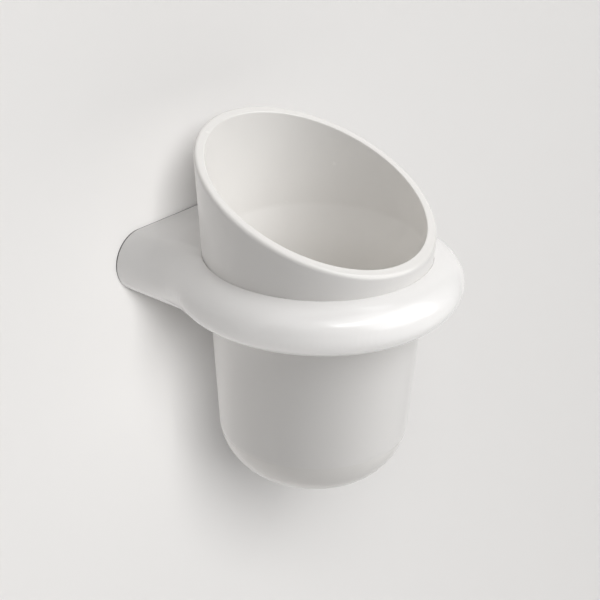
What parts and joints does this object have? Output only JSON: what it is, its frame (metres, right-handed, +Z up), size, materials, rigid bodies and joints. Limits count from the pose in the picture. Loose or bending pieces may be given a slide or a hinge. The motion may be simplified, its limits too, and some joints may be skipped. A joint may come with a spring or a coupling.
{
  "type": "tumbler holder",
  "caption": "Wall-mounted glazed ceramic tumbler holder: a rounded ring on a short arm carries a tapered tumbler with a slanted mouth, which turns and lifts out.",
  "frame": {"origin": "centre of the wall plate's back face, on the wall", "axes": "+Y into the wall, so the object reaches out along -Y; +Z up; +X to the right seen from the front"},
  "size_m": [0.1, 0.144, 0.1238],
  "materials": {
    "white_glaze": "glossy white glaze",
    "clear_silicone": "milky satin silicone",
    "stainless_steel": "brushed",
    "brass": "plain machined",
    "grey_nylon": "matt moulded"
  },
  "bodies": {
    "holder": {"holder": "white_glaze", "wall_plate": "stainless_steel", "wall_gasket": "clear_silicone", "set_screw": "stainless_steel", "set_screw_bush": "brass", "wall_screw_left": "stainless_steel", "wall_screw_right": "stainless_steel", "wall_plug_left": "grey_nylon", "wall_plug_right": "grey_nylon"},
    "seat_ring": {"seat_ring": "clear_silicone"},
    "tumbler": {"tumbler": "white_glaze"}
  },
  "joints": [
    {"name": "tumbler_turn", "type": "hinge", "parent": "holder", "child": "seat_ring", "pos_m": [0, -0.05976, 0.0027], "axis": [0, 0, 1], "continuous": true},
    {"name": "tumbler_lift", "type": "slide", "parent": "seat_ring", "child": "tumbler", "axis": [0, 0, 1], "range_m": [0, 0.1]}
  ]
}
